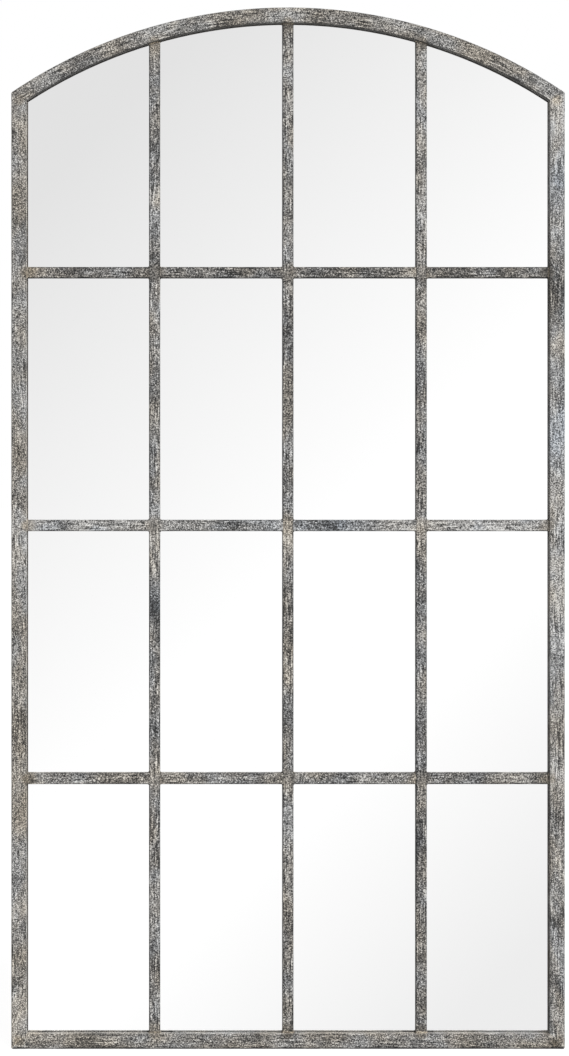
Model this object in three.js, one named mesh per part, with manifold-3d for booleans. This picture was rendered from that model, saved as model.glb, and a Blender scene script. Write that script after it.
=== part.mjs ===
// Arched window mirror for a wall. A welded frame of square steel tube with a bent head holds one
// sheet of mirror behind a grille of flat bar, and clips press it home from the back, where two
// swinging rings hang the mirror from its hooks.
//
// Millimetres. +X is the viewer's right, +Y runs from the glass to the wall and +Z is up. The
// origin is the middle of the whole mirror, rubber bumpers included.

import * as THREE from "three";
import { mergeVertices } from "three/addons/utils/BufferGeometryUtils.js";
import Module from "manifold-3d";

const wasm = await Module();
wasm.setup();

// Overall form
const mirrorWidth = 1080;
const mirrorHeight = 2032;
const archRadius = 961.5; // outside of the bent head
const shoulderRadius = 5; // outside corner ground where the head meets a stile
const footRadius = 4; // outside corner ground at the foot of a stile

// Square tube of the frame
const tubeWidth = 30;
const tubeDepth = 30;
const tubeWall = 1.5;
const tubeEdgeRadius = 2.5;

// Flat bar of the grille
const muntinWidth = 22;
const muntinThickness = 8;
const muntinEdgeRadius = 1.2;
const uprightCount = 3;
const crossbarRows = 3;
const lowestPaneHeight = 485.5;
const middlePaneHeight = 472.3; // every row between the lowest one and the arched one

// Mirror and its backing
const glassSetback = 15; // from the front of the frame to the front of the glass
const glassThickness = 4;
const boardThickness = 3;
const sheetClearance = 2; // from the glass and the board to the frame, all round
const settingBlockLength = 60;
const settingBlockFromCentre = 255;

// Clips that press the board home
const clipThickness = 1.5;
const clipWidth = 15;
const clipFoot = 14; // reach over the board
const clipFlange = 17; // reach over the tube
const clipScrewReach = 9.5; // from the inner side of the tube to the screw
const clipBendRadius = 1.5;
const clipsPerStile = 3;
const clipsPerRail = 2;
const clipEndInset = 150; // from a corner of the opening to its nearest clip

// Hangers
const wireRadius = 2;
const ringHalfWidth = 12; // to the middle of the wire
const ringHeight = 22; // pivot to the middle of the wire at its far end
const ringCornerRadius = 3;
const hangerThickness = 1.5;
const hangerWidth = 17;
const hangerLength = 52; // pivot to the far end of the strap
const hangerScrewFirst = 30; // from the pivot
const hangerScrewPitch = 14;
const hangerDrop = 300; // from the springing of the arch to the pivot

// Pan-head screws
const screwRadius = 2;
const screwLength = 10;
const screwHeadRadius = 3.8;
const screwHeadHeight = 2.3;

// Rubber bumpers
const bumperRadius = 8;
const bumperHeight = 8;
const bumperTaper = 1.2;
const bumperEndInset = 60; // from the springing, and from the foot, to the nearest bumper

// Clearances
const jointGap = 0.3; // root gap of a weld, and the seat of one loose piece beside another
const eyeClearance = 0.3; // round the ring's wire in the rolled eye
const leastBoreRadius = 0.2; // inner corner of the tube, where its wall is as thick as its edge is round
const drillClearance = 0.15; // round a screw in its hole

// Facets
const archSteps = 40;
const edgeSteps = 3;
const boreSteps = 1;
const roundSides = 16;
const ringSteps = 44;
const wireSides = 8;

// Derived planes and places
const halfWidth = mirrorWidth / 2;
const topZ = mirrorHeight / 2;
const bottomZ = -mirrorHeight / 2;
const archCentreZ = topZ - archRadius;
const springZ = archCentreZ + Math.sqrt(archRadius ** 2 - halfWidth ** 2);
const openingHalf = halfWidth - tubeWidth;
const openingBottom = bottomZ + tubeWidth;
const openingRadius = archRadius - tubeWidth;
const openingSpringZ = archCentreZ + Math.sqrt(openingRadius ** 2 - openingHalf ** 2);
const frameFront = -(tubeDepth + bumperHeight) / 2;
const frameMiddleY = frameFront + tubeDepth / 2;
const frameBack = frameFront + tubeDepth;
const glassFront = frameFront + glassSetback;
const glassBack = glassFront + glassThickness;
const boardBack = glassBack + boardThickness;
const stileX = halfWidth - tubeWidth / 2;
const paneWidth = (2 * openingHalf - uprightCount * muntinWidth) / (uprightCount + 1);
const hangerZ = springZ - hangerDrop;
const eyeRadius = wireRadius + eyeClearance + hangerThickness / 2; // to the middle of the strap
const pivotY = frameBack + hangerThickness / 2 + eyeRadius;

// Finishes
const finish = (color, roughness, metalness) =>
  new THREE.MeshStandardMaterial({ color, roughness, metalness });
const agedPaint = finish(0x85827d, 0.75, 0.2);
const silvered = finish(0xf2f4f4, 0.03, 1);
const hardboard = finish(0x4a3b2e, 0.9, 0);
const zincPlate = finish(0xb4b6b3, 0.35, 0.9);
const blackRubber = finish(0x1c1c1c, 0.85, 0);

// A closed geometry as a solid that can be joined and cut.
function toSolid(geometry) {
  geometry.deleteAttribute("normal");
  geometry.deleteAttribute("uv");
  const merged = mergeVertices(geometry, 1e-4);
  return new wasm.Manifold(new wasm.Mesh({
    numProp: 3,
    vertProperties: merged.attributes.position.array,
    triVerts: new Uint32Array(merged.index.array),
  }));
}

function toGeometry(solid) {
  const mesh = solid.getMesh();
  const geometry = new THREE.BufferGeometry();
  geometry.setAttribute("position", new THREE.BufferAttribute(mesh.vertProperties, 3));
  geometry.setIndex(new THREE.BufferAttribute(mesh.triVerts, 1));
  geometry.computeVertexNormals();
  return geometry;
}

function piece(name, geometry, material) {
  const mesh = new THREE.Mesh(geometry, material);
  mesh.name = name;
  return mesh;
}

// Points of an arc about (x, y), both ends included.
function arcPoints(x, y, radius, from, to, steps) {
  return new THREE.EllipseCurve(x, y, radius, radius, from, to, to < from).getPoints(steps);
}

// Values spread evenly between two ends, both included; a single value lies midway.
function spread(low, high, count) {
  if (count === 1) {
    return [(low + high) / 2];
  }
  return Array.from({ length: count }, (_, i) => THREE.MathUtils.lerp(low, high, i / (count - 1)));
}

function roundedRectangle(width, depth, radius, steps) {
  const x = width / 2 - radius;
  const y = depth / 2 - radius;
  const quarter = Math.PI / 2;
  return [[x, y], [-x, y], [-x, -y], [x, -y]].flatMap(([cx, cy], i) =>
    arcPoints(cx, cy, radius, i * quarter, (i + 1) * quarter, steps));
}

// Section of the frame's tube: its x is the face width and its y the depth.
function tubeSection() {
  const outside = new THREE.Shape(roundedRectangle(tubeWidth, tubeDepth, tubeEdgeRadius, edgeSteps));
  const boreWidth = tubeWidth - 2 * tubeWall;
  const boreDepth = tubeDepth - 2 * tubeWall;
  const boreRadius = Math.max(tubeEdgeRadius - tubeWall, leastBoreRadius);
  const bore = roundedRectangle(boreWidth, boreDepth, boreRadius, boreSteps);
  outside.holes.push(new THREE.Path(bore.reverse()));
  return outside;
}

// A bar of constant section that stands on the X-Y plane.
function straightBar(section, length) {
  return new THREE.ExtrudeGeometry(section, { depth: length, bevelEnabled: false });
}

// A plate cut to an outline in the X-Z plane, with its front face at the given y.
function flatPlate(outline, front, thickness) {
  const geometry = new THREE.ExtrudeGeometry(outline, { depth: thickness, bevelEnabled: false });
  geometry.rotateX(Math.PI / 2);
  geometry.translate(0, front + thickness, 0);
  return geometry;
}

// Outline of the mirror, drawn in by an equal inset: a straight foot and sides under one arc.
function archedOutline(inset) {
  const half = halfWidth - inset;
  const radius = archRadius - inset;
  const foot = bottomZ + inset;
  const springAngle = Math.acos(half / radius);
  return new THREE.Shape([
    new THREE.Vector2(-half, foot),
    new THREE.Vector2(half, foot),
    ...arcPoints(0, archCentreZ, radius, springAngle, Math.PI - springAngle, archSteps),
  ]);
}

// The mitre lines of one side, each from the inner to the outer corner.
function mitreLines(side) {
  return {
    shoulder: [
      new THREE.Vector2(side * openingHalf, openingSpringZ),
      new THREE.Vector2(side * halfWidth, springZ),
    ],
    foot: [
      new THREE.Vector2(side * openingHalf, openingBottom),
      new THREE.Vector2(side * halfWidth, bottomZ),
    ],
  };
}

// Everything on one side of a mitre line, that of the point "towards", and half the weld's root gap.
function beyondMitre([inner, outer], towards) {
  const along = outer.clone().sub(inner).normalize();
  const across = new THREE.Vector2(-along.y, along.x);
  if (towards.clone().sub(inner).dot(across) < 0) {
    across.negate();
  }
  const reach = 2 * mirrorHeight;
  const corner = (s, t) => inner.clone().addScaledVector(along, s).addScaledVector(across, t);
  const near = -jointGap / 2;
  const outline = new THREE.Shape([
    corner(-reach, near), corner(reach, near), corner(reach, reach), corner(-reach, reach),
  ]);
  return toSolid(flatPlate(outline, frameFront - tubeDepth, 3 * tubeDepth));
}

const headSide = new THREE.Vector2(0, topZ);
const footSide = new THREE.Vector2(0, bottomZ);

// What grinding takes off one outside corner: a ring sector from the finished radius outwards.
function cornerWaste(x, z, radius, from, to) {
  const outline = new THREE.Shape([
    ...arcPoints(x, z, 2 * radius, from, to, edgeSteps),
    ...arcPoints(x, z, radius, to, from, edgeSteps),
  ]);
  return toSolid(flatPlate(outline, frameFront - tubeDepth, 3 * tubeDepth));
}

function footWaste(side) {
  const x = side * (halfWidth - footRadius);
  const from = side > 0 ? -Math.PI / 2 : Math.PI;
  return cornerWaste(x, bottomZ + footRadius, footRadius, from, from + Math.PI / 2);
}

// The shoulder's round touches the stile's outside and the arch from inside.
function shoulderWaste(side) {
  const x = halfWidth - shoulderRadius;
  const z = Math.sqrt((archRadius - shoulderRadius) ** 2 - x ** 2);
  const tangentAngle = Math.atan2(z, x);
  const from = side > 0 ? 0 : Math.PI - tangentAngle;
  return cornerWaste(side * x, archCentreZ + z, shoulderRadius, from, from + tangentAngle);
}

// Seats of the clips: a point on the opening's edge and the direction from there across the tube.
function clipSeats() {
  const onStiles = [-1, 1].flatMap((side) =>
    spread(openingBottom + clipEndInset, openingSpringZ - clipEndInset, clipsPerStile).map((z) => (
      { bar: side < 0 ? "left_stile" : "right_stile", x: side * openingHalf, z, outX: side, outZ: 0 })));
  const columns = spread(-openingHalf + clipEndInset, openingHalf - clipEndInset, clipsPerRail);
  const onRail = columns.map((x) => ({ bar: "bottom_rail", x, z: openingBottom, outX: 0, outZ: -1 }));
  const onHead = columns.map((x) => {
    const angle = Math.acos(x / openingRadius);
    const outX = Math.cos(angle);
    const outZ = Math.sin(angle);
    return { bar: "arch_rail", x, z: archCentreZ + openingRadius * outZ, outX, outZ };
  });
  return [...onStiles, ...onRail, ...onHead];
}

// Places of all screws in one bar of the frame, as [x, z].
function screwPlaces(bar) {
  const clips = clipSeats().filter((seat) => seat.bar === bar).map((seat) => (
    [seat.x + clipScrewReach * seat.outX, seat.z + clipScrewReach * seat.outZ]));
  const side = { left_stile: -1, right_stile: 1 }[bar];
  const hangers = side ? hangerScrewDrops().map((drop) => [side * stileX, hangerZ - drop]) : [];
  return [...clips, ...hangers];
}

function hangerScrewDrops() {
  return [hangerScrewFirst, hangerScrewFirst + hangerScrewPitch];
}

// A round hole along Y from just inside one face to just outside the other.
function drill(x, z, front, depth) {
  const radius = screwRadius + drillClearance;
  const geometry = new THREE.CylinderGeometry(radius, radius, depth + 2 * jointGap, roundSides);
  geometry.translate(x, front + depth / 2, z);
  return toSolid(geometry);
}

function finishBar(name, stock, wastes) {
  let solid = toSolid(stock);
  for (const waste of wastes) {
    solid = solid.subtract(waste);
  }
  for (const [x, z] of screwPlaces(name)) {
    solid = solid.subtract(drill(x, z, frameBack - tubeWall, tubeWall));
  }
  return piece(name, toGeometry(solid), agedPaint);
}

function stile(name, side) {
  const stock = straightBar(tubeSection(), mirrorHeight);
  stock.translate(side * stileX, frameMiddleY, bottomZ);
  const { shoulder, foot } = mitreLines(side);
  return finishBar(name, stock, [
    beyondMitre(shoulder, headSide), beyondMitre(foot, footSide), footWaste(side), shoulderWaste(side),
  ]);
}

function bottomRail() {
  const stock = straightBar(tubeSection(), mirrorWidth);
  stock.rotateY(Math.PI / 2);
  stock.translate(-halfWidth, frameMiddleY, bottomZ + tubeWidth / 2);
  return finishBar("bottom_rail", stock, [-1, 1].flatMap((side) => (
    [beyondMitre(mitreLines(side).foot, headSide), footWaste(side)])));
}

// Middle line of the bent head, which runs past both shoulders before it is mitred.
class ArchLine extends THREE.Curve {
  getPoint(t, target = new THREE.Vector3()) {
    const radius = archRadius - tubeWidth / 2;
    const reach = Math.asin(halfWidth / archRadius) + tubeWidth / archRadius;
    const angle = THREE.MathUtils.lerp(-reach, reach, t);
    return target.set(radius * Math.sin(angle), frameMiddleY, archCentreZ + radius * Math.cos(angle));
  }
}

// The swept section has its x along Y and its y across the bar, so the tube's section is turned.
function archRail() {
  const section = tubeSection();
  const turned = (points) => points.map((p) => new THREE.Vector2(-p.y, p.x));
  const shape = new THREE.Shape(turned(section.getPoints()));
  shape.holes.push(new THREE.Path(turned(section.holes[0].getPoints())));
  const stock = new THREE.ExtrudeGeometry(shape, { extrudePath: new ArchLine(), steps: archSteps });
  return finishBar("arch_rail", stock, [-1, 1].flatMap((side) => (
    [beyondMitre(mitreLines(side).shoulder, footSide), shoulderWaste(side)])));
}

function muntinSection() {
  return new THREE.Shape(roundedRectangle(muntinWidth, muntinThickness, muntinEdgeRadius, edgeSteps - 1));
}

const muntinY = glassFront - muntinThickness / 2;

// Upright bars run unbroken from the bottom rail to the arch, which their tops are coped to.
function uprights() {
  const opening = toSolid(flatPlate(
    archedOutline(tubeWidth + jointGap), glassFront - 2 * muntinThickness, 3 * muntinThickness));
  return Array.from({ length: uprightCount }, (_, i) => {
    const x = -openingHalf + (i + 1) * (paneWidth + muntinWidth) - muntinWidth / 2;
    const stock = straightBar(muntinSection(), mirrorHeight);
    stock.translate(x, muntinY, bottomZ);
    return piece(`upright_${i + 1}`, toGeometry(toSolid(stock).intersect(opening)), agedPaint);
  });
}

// Crossbars are cut to the width of a pane and welded in between the upright bars.
function crossbars() {
  const pieces = [];
  for (let row = 0; row < crossbarRows; row++) {
    const z = openingBottom + lowestPaneHeight + muntinWidth / 2 + row * (middlePaneHeight + muntinWidth);
    for (let column = 0; column <= uprightCount; column++) {
      const left = -openingHalf + column * (paneWidth + muntinWidth);
      const bar = straightBar(muntinSection(), paneWidth - 2 * jointGap);
      bar.rotateY(Math.PI / 2);
      bar.translate(left + jointGap, muntinY, z);
      pieces.push(piece(`crossbar_${row + 1}_${column + 1}`, bar, agedPaint));
    }
  }
  return pieces;
}

// The glass and the board stand on two blocks that fill their clearance to the bottom rail.
function settingBlock(name, side) {
  const depth = glassThickness + boardThickness;
  const block = new THREE.BoxGeometry(settingBlockLength, depth, sheetClearance);
  block.translate(
    side * settingBlockFromCentre, glassFront + depth / 2, openingBottom + sheetClearance / 2);
  return piece(name, block, blackRubber);
}

function glazing() {
  const outline = archedOutline(tubeWidth + sheetClearance);
  return [
    piece("mirror_glass", flatPlate(outline, glassFront, glassThickness), silvered),
    piece("backing_board", flatPlate(outline, glassBack, boardThickness), hardboard),
    settingBlock("setting_block_left", -1),
    settingBlock("setting_block_right", 1),
  ];
}

// Strip metal seen on its edge: a middle line with half the thickness laid off on both sides.
function stripOutline(line, thickness) {
  const offset = (side) => line.map((point, i) => {
    const before = line[Math.max(i - 1, 0)];
    const after = line[Math.min(i + 1, line.length - 1)];
    const along = after.clone().sub(before).normalize();
    const across = new THREE.Vector2(-along.y, along.x);
    return point.clone().addScaledVector(across, side * thickness / 2);
  });
  return new THREE.Shape([...offset(-1), ...offset(1).reverse()]);
}

// A flat bar of strip with one round end, as an outline in the X-Z plane.
function roundEndedOutline(squareEnd, roundEnd, width) {
  const turn = Math.sign(roundEnd - squareEnd);
  const half = width / 2;
  const middle = roundEnd - turn * half;
  const from = turn > 0 ? -Math.PI / 2 : Math.PI / 2;
  return new THREE.Shape([
    new THREE.Vector2(squareEnd, turn * half),
    new THREE.Vector2(squareEnd, -turn * half),
    ...arcPoints(middle, 0, half, from, from + Math.PI, roundSides / 2),
  ]);
}

// Clip in its own frame: x runs from the opening's edge outwards across the tube, y to the wall.
function clipGeometry() {
  const riser = -jointGap - clipThickness / 2;
  const footY = boardBack + clipThickness / 2;
  const flangeY = frameBack + clipThickness / 2;
  const line = new THREE.Path();
  line.moveTo(-clipFoot, footY);
  line.lineTo(riser - clipBendRadius, footY);
  line.quadraticCurveTo(riser, footY, riser, footY + clipBendRadius);
  line.lineTo(riser, flangeY - clipBendRadius);
  line.quadraticCurveTo(riser, flangeY, riser + clipBendRadius, flangeY);
  line.lineTo(clipFlange, flangeY);
  const strip = straightBar(stripOutline(line.getPoints(edgeSteps), clipThickness), clipWidth);
  strip.translate(0, 0, -clipWidth / 2);
  const plan = flatPlate(
    roundEndedOutline(-clipFoot, clipFlange, clipWidth), boardBack - tubeDepth, 3 * tubeDepth);
  const blank = toSolid(strip).intersect(toSolid(plan));
  return toGeometry(blank.subtract(drill(clipScrewReach, 0, frameBack, clipThickness)));
}

// Screw about +Y, with the underside of its head at y = 0.
function screwGeometry() {
  const point = screwRadius;
  return new THREE.LatheGeometry([
    new THREE.Vector2(0, -screwLength),
    new THREE.Vector2(screwRadius, point - screwLength),
    new THREE.Vector2(screwRadius, 0),
    new THREE.Vector2(screwHeadRadius, 0),
    new THREE.Vector2(screwHeadRadius, screwHeadHeight * 0.4),
    new THREE.Vector2(screwHeadRadius * 0.8, screwHeadHeight * 0.85),
    new THREE.Vector2(0, screwHeadHeight),
  ], roundSides);
}

function clips() {
  return clipSeats().map((seat, i) => {
    const place = new THREE.Group();
    place.position.set(seat.x, 0, seat.z);
    place.rotation.y = Math.atan2(-seat.outZ, seat.outX);
    const screw = piece(`clip_screw_${i + 1}`, screwGeometry(), zincPlate);
    screw.position.set(clipScrewReach, frameBack + clipThickness, 0);
    place.add(piece(`backing_clip_${i + 1}`, clipGeometry(), zincPlate), screw);
    return place;
  });
}

// Strap of a hanger, pivot at the origin of x and z. Its top end is rolled over the ring's wire
// and back towards the strap, with a slit left so that the ring could be slipped in.
function hangerStrapGeometry() {
  const strapY = frameBack + hangerThickness / 2;
  const slitAngle = THREE.MathUtils.degToRad(-112);
  const line = new THREE.Path();
  line.moveTo(strapY, -hangerLength);
  line.lineTo(strapY, 0);
  line.absarc(pivotY, 0, eyeRadius, Math.PI, slitAngle, true);
  const strip = straightBar(stripOutline(line.getPoints(roundSides / 2), hangerThickness), hangerWidth);
  const place = new THREE.Matrix4().makeBasis(
    new THREE.Vector3(0, 1, 0), new THREE.Vector3(0, 0, 1), new THREE.Vector3(1, 0, 0));
  strip.applyMatrix4(place);
  strip.translate(-hangerWidth / 2, 0, 0);
  const plan = flatPlate(
    roundEndedOutline(hangerLength, -hangerLength, hangerWidth), frameBack - tubeDepth, 3 * tubeDepth);
  plan.rotateY(-Math.PI / 2);
  let solid = toSolid(strip).intersect(toSolid(plan));
  for (const drop of hangerScrewDrops()) {
    solid = solid.subtract(drill(0, -drop, frameBack, hangerThickness));
  }
  return toGeometry(solid);
}

// Ring of round wire, hanging: a straight side in the eye, rounded corners and a half circle below.
function hangerRingGeometry() {
  const inner = ringHalfWidth - ringCornerRadius;
  const bowZ = ringHalfWidth - ringHeight;
  const quarter = Math.PI / 2;
  const line = new THREE.Path();
  line.moveTo(-inner, 0);
  line.lineTo(inner, 0);
  line.absarc(inner, -ringCornerRadius, ringCornerRadius, quarter, 0, true);
  line.lineTo(ringHalfWidth, bowZ);
  line.absarc(0, bowZ, ringHalfWidth, 0, -Math.PI, true);
  line.lineTo(-ringHalfWidth, -ringCornerRadius);
  line.absarc(-inner, -ringCornerRadius, ringCornerRadius, Math.PI, quarter, true);
  line.closePath();
  const points = line.getSpacedPoints(ringSteps).slice(0, -1);
  const wire = new THREE.CatmullRomCurve3(points.map((p) => new THREE.Vector3(p.x, 0, p.y)), true);
  return new THREE.TubeGeometry(wire, ringSteps, wireRadius, wireSides, true);
}

function hanger(word, side) {
  const place = new THREE.Group();
  place.position.set(side * stileX, 0, hangerZ);
  const ring = piece(`${word}_hanger_ring`, hangerRingGeometry(), zincPlate);
  ring.position.y = pivotY;
  place.add(piece(`${word}_hanger_strap`, hangerStrapGeometry(), zincPlate), ring);
  hangerScrewDrops().forEach((drop, i) => {
    const screw = piece(`${word}_hanger_screw_${i + 1}`, screwGeometry(), zincPlate);
    screw.position.set(0, frameBack + hangerThickness, -drop);
    place.add(screw);
  });
  return place;
}

function bumper(name, side, z) {
  const face = bumperRadius - bumperTaper;
  const geometry = new THREE.LatheGeometry([
    new THREE.Vector2(0, 0),
    new THREE.Vector2(bumperRadius, 0),
    new THREE.Vector2(face, bumperHeight - bumperTaper),
    new THREE.Vector2(face - bumperTaper, bumperHeight),
    new THREE.Vector2(0, bumperHeight),
  ], roundSides);
  const mesh = piece(name, geometry, blackRubber);
  mesh.position.set(side * stileX, frameBack, z);
  return mesh;
}

function bumpers() {
  return [["left", -1], ["right", 1]].flatMap(([word, side]) => [
    bumper(`lower_${word}_bumper`, side, bottomZ + bumperEndInset),
    bumper(`upper_${word}_bumper`, side, springZ - bumperEndInset),
  ]);
}

function assembly(...pieces) {
  const group = new THREE.Group();
  group.add(...pieces);
  return group;
}

const archedWindowMirror = assembly(
  assembly(archRail(), stile("left_stile", -1), stile("right_stile", 1), bottomRail()),
  assembly(...uprights(), ...crossbars()),
  assembly(...glazing()),
  assembly(...clips()),
  assembly(hanger("left", -1), hanger("right", 1)),
  assembly(...bumpers()),
);

export default archedWindowMirror;
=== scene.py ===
import math

import bpy
import numpy as np
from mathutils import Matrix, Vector


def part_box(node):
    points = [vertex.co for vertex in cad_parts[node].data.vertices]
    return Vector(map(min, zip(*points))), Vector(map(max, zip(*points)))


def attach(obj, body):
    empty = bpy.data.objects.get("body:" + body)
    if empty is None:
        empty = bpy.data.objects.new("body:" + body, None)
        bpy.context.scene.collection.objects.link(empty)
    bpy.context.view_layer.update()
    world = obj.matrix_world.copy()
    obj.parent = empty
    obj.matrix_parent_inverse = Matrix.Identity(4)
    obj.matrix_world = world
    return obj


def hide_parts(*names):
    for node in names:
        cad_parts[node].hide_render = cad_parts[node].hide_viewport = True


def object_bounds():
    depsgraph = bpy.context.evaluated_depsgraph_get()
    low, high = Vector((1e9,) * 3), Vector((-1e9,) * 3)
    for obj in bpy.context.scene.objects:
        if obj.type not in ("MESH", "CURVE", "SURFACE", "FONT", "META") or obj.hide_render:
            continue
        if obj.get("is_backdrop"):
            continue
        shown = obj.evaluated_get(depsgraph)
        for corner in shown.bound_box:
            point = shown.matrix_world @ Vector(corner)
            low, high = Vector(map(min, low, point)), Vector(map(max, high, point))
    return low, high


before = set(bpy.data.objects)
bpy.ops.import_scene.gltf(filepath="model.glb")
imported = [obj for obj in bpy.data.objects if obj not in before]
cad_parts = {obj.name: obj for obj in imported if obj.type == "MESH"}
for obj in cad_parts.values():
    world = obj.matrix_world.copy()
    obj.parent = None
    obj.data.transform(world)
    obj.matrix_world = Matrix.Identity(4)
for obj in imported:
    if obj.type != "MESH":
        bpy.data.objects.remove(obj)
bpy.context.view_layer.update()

mm = 0.001


def hexColour(code):
    # sRGB hex to the linear colour that Blender mixes in
    parts = [int(code[i:i + 2], 16) / 255 for i in (1, 3, 5)]
    return [c / 12.92 if c <= 0.04045 else ((c + 0.055) / 1.055) ** 2.4 for c in parts] + [1.0]


def addNode(tree, kind, settings=None, inputs=None, stops=None):
    # one node with its settings, its values or links, and a ramp's stops
    node = tree.nodes.new("ShaderNode" + kind)
    for name, value in (settings or {}).items():
        setattr(node, name, value)
    for name, value in (inputs or {}).items():
        if isinstance(value, bpy.types.NodeSocket):
            tree.links.new(value, node.inputs[name])
        else:
            node.inputs[name].default_value = value
    if stops:
        ramp = node.color_ramp
        while len(ramp.elements) < len(stops):
            ramp.elements.new(0.5)
        for element, (place, colour) in zip(ramp.elements, stops):
            element.position = place
            element.color = colour
    return node


def newMaterial(name):
    material = bpy.data.materials.new(name)
    material.use_nodes = True
    tree = material.node_tree
    tree.nodes.clear()
    return material, tree


def finishMaterial(tree, surface):
    output = addNode(tree, "OutputMaterial")
    tree.links.new(surface, output.inputs["Surface"])


def latticeNoise(points, cell, seed):
    # value noise: the eight hashed corners of a cube lattice, joined by smoothstep weights, -1 to 1
    scaled = points / cell
    base = np.floor(scaled).astype(np.int64)
    t = scaled - base
    t = t * t * (3 - 2 * t)
    total = np.zeros(points.shape[:-1])
    for corner in range(8):
        offset = np.array([(corner >> k) & 1 for k in range(3)])
        key = ((base + offset) * np.array([73856093, 19349663, 83492791])).sum(-1) ^ (seed * 7919)
        key = (key ^ (key >> 13)) * 1274126177
        key = ((key ^ (key >> 16)) & 0xFFFFFF) / 0x7FFFFF - 1
        total = total + key * np.prod(np.where(offset, t, 1 - t), axis=-1)
    return total


def smoothStep(low, high, value):
    t = np.clip((value - low) / (high - low), 0, 1)
    return t * t * (3 - 2 * t)


def makePiece(name, vertices, faces, material, body, stands=(), flatFrom=None,
              uv=None, attributes=None):
    # a closed mesh from arrays; its faces are turned outwards by the sign of its volume
    points = np.asarray(vertices, float)
    fan = [(f[0], f[i], f[i + 1]) for f in faces for i in range(1, len(f) - 1)]
    a, b, c = (points[np.array(fan)[:, i]] for i in range(3))
    flipped = np.einsum("ij,ij->i", a, np.cross(b, c)).sum() < 0
    ordered = [tuple(reversed(f)) for f in faces] if flipped else faces
    mesh = bpy.data.meshes.new(name)
    mesh.from_pydata(points.tolist(), [], ordered)
    smooth = np.ones(len(faces), bool)
    if flatFrom is not None:
        smooth[flatFrom:] = False
    mesh.polygons.foreach_set("use_smooth", smooth)
    if uv is not None:
        flat = [corner for f in (uv if not flipped else [tuple(reversed(g)) for g in uv]) for corner in f]
        mesh.uv_layers.new(name="bar").data.foreach_set("uv", np.array(flat, float).ravel())
    for label, values in (attributes or {}).items():
        layer = mesh.attributes.new(label, "FLOAT_VECTOR", "POINT")
        layer.data.foreach_set("vector", np.asarray(values, float).ravel())
    mesh.update()
    mesh.materials.append(material)
    piece = bpy.data.objects.new(name, mesh)
    bpy.context.scene.collection.objects.link(piece)
    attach(piece, body)
    if stands:
        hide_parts(*stands)
    return piece


def gridFaces(rows, columns, closed):
    # quads between neighbouring rows; closed joins the last column to the first
    r, c = np.meshgrid(np.arange(rows - 1), np.arange(columns if closed else columns - 1), indexing="ij")
    n = (c + 1) % columns
    quads = np.stack([r * columns + c, r * columns + n, (r + 1) * columns + n, (r + 1) * columns + c], -1)
    return [tuple(q) for q in quads.reshape(-1, 4).tolist()]


stileLow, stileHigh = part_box("right_stile")
railLow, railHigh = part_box("bottom_rail")
mirrorShape = {
    "halfWidth": stileHigh.x,
    "bottom": railLow.z,
    "top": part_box("arch_rail")[1].z,
    "archRadius": 961.5 * mm,
    "tubeWidth": railHigh.z - railLow.z,
    "front": stileLow.y,
    "back": stileHigh.y,
    "shoulderRadius": 5 * mm,
    "footRadius": 4 * mm,
}
halfWidth, bottomZ = mirrorShape["halfWidth"], mirrorShape["bottom"]
archRadius, tubeWidth = mirrorShape["archRadius"], mirrorShape["tubeWidth"]
archCentreZ = mirrorShape["top"] - archRadius
print("frame loaded:", len(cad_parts), "solids")


agedPaint = {
    "darkest": "#1c1c1c", "dark": "#434240", "low": "#62605e", "middle": "#7a7875",
    "high": "#94918e", "light": "#b1aea9", "lightest": "#d2d0cb",
    # sides: the dark colour laid on the bars' sides as painted shade, and on the back as its thinner coat
    "warm": "#c9bda9", "cool": "#b0bbc9", "sides": "#2b2a29",
    "grainMm": 2.0, "grainDepth": 3.0,            # the speckle of the dabbed coat
    "brushMm": 2.6, "brushLength": 13.0, "brushDepth": 1.6,    # strokes drawn out along the bar
    "driftMm": 80.0, "driftDepth": 0.95,           # thick and thin places
    "crackleMm": 4.2, "pitMm": 17.0,
}


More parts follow.
